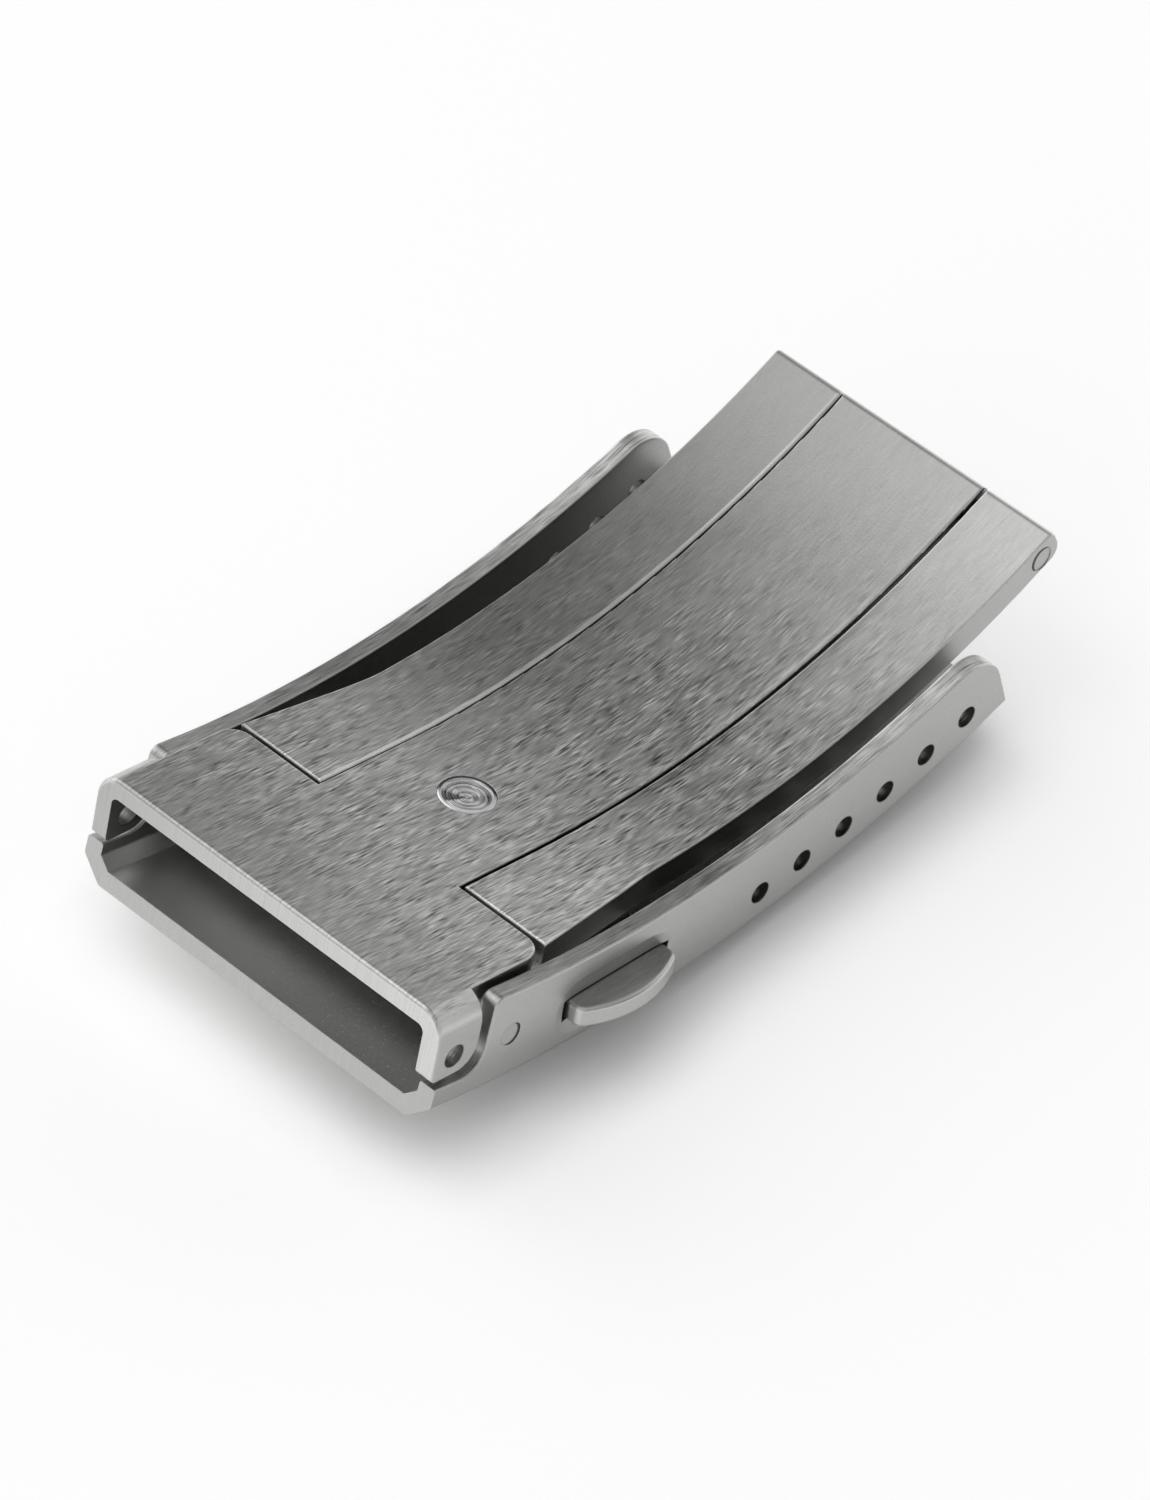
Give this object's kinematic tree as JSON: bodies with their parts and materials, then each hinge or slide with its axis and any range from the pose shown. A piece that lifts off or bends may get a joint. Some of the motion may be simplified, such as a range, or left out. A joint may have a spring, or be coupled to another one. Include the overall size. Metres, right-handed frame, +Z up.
{
  "type": "deployant clasp",
  "caption": "Nested three-fold deployant watch clasp in brushed steel, shown closed from the wrist side, with push buttons on both sides.",
  "frame": {"origin": "middle of the closed clasp's box, at the lowest line of the cover's bent outside", "axes": "+X along the clasp from the lug end to the micro-adjust end, +Y across it to the far push button, +Z up to the wrist side"},
  "size_m": [0.0396, 0.023, 0.0087],
  "materials": {
    "cover_steel": "fine satin on the outside, coarse brushing across the walls' top edges",
    "blade_steel": "brushed along the blades' length, edges bright",
    "pin_steel": "turned, smooth",
    "turned_steel": "turned, concentric tool rings in a shallow dish",
    "button_steel": "satin with a bright bevel",
    "inner_steel": "plain rolled sheet",
    "spring_steel": "drawn wire"
  },
  "bodies": {
    "cover_body": {"cover": "cover_steel", "cover_hinge_pin": "pin_steel", "latch_cage": "inner_steel", "button_spring_near": "spring_steel", "button_spring_far": "spring_steel"},
    "fork": {"outer_blade": "blade_steel", "fold_hinge_pin": "pin_steel"},
    "tongue": {"inner_blade": "blade_steel", "latch_stud": "turned_steel"},
    "near_button": {"push_button_near": "button_steel"},
    "far_button": {"push_button_far": "button_steel"}
  },
  "joints": [
    {"name": "cover_hinge", "type": "hinge", "parent": "cover_body", "child": "fork", "pos_m": [-0.01487, 0, 0.00525], "axis": [0, -1, 0], "range_deg": [0, 160]},
    {"name": "fold_hinge", "type": "hinge", "parent": "fork", "child": "tongue", "pos_m": [0.01873, 0, 0.00654], "axis": [0, 1, 0], "range_deg": [0, 176]},
    {"name": "push_near", "type": "slide", "parent": "cover_body", "child": "near_button", "axis": [0, 1, 0], "range_m": [0, 0.0009], "stiffness_N_per_m": 1500, "springref_m": -0.0005, "deforming": ["button_spring_near"]},
    {"name": "push_far", "type": "slide", "parent": "cover_body", "child": "far_button", "axis": [0, -1, 0], "range_m": [0, 0.0009], "stiffness_N_per_m": 1500, "springref_m": -0.0005, "deforming": ["button_spring_far"]}
  ],
  "couplings": [
    {"joint": "fold_hinge", "follows": "cover_hinge", "ratio": 1.1}
  ]
}
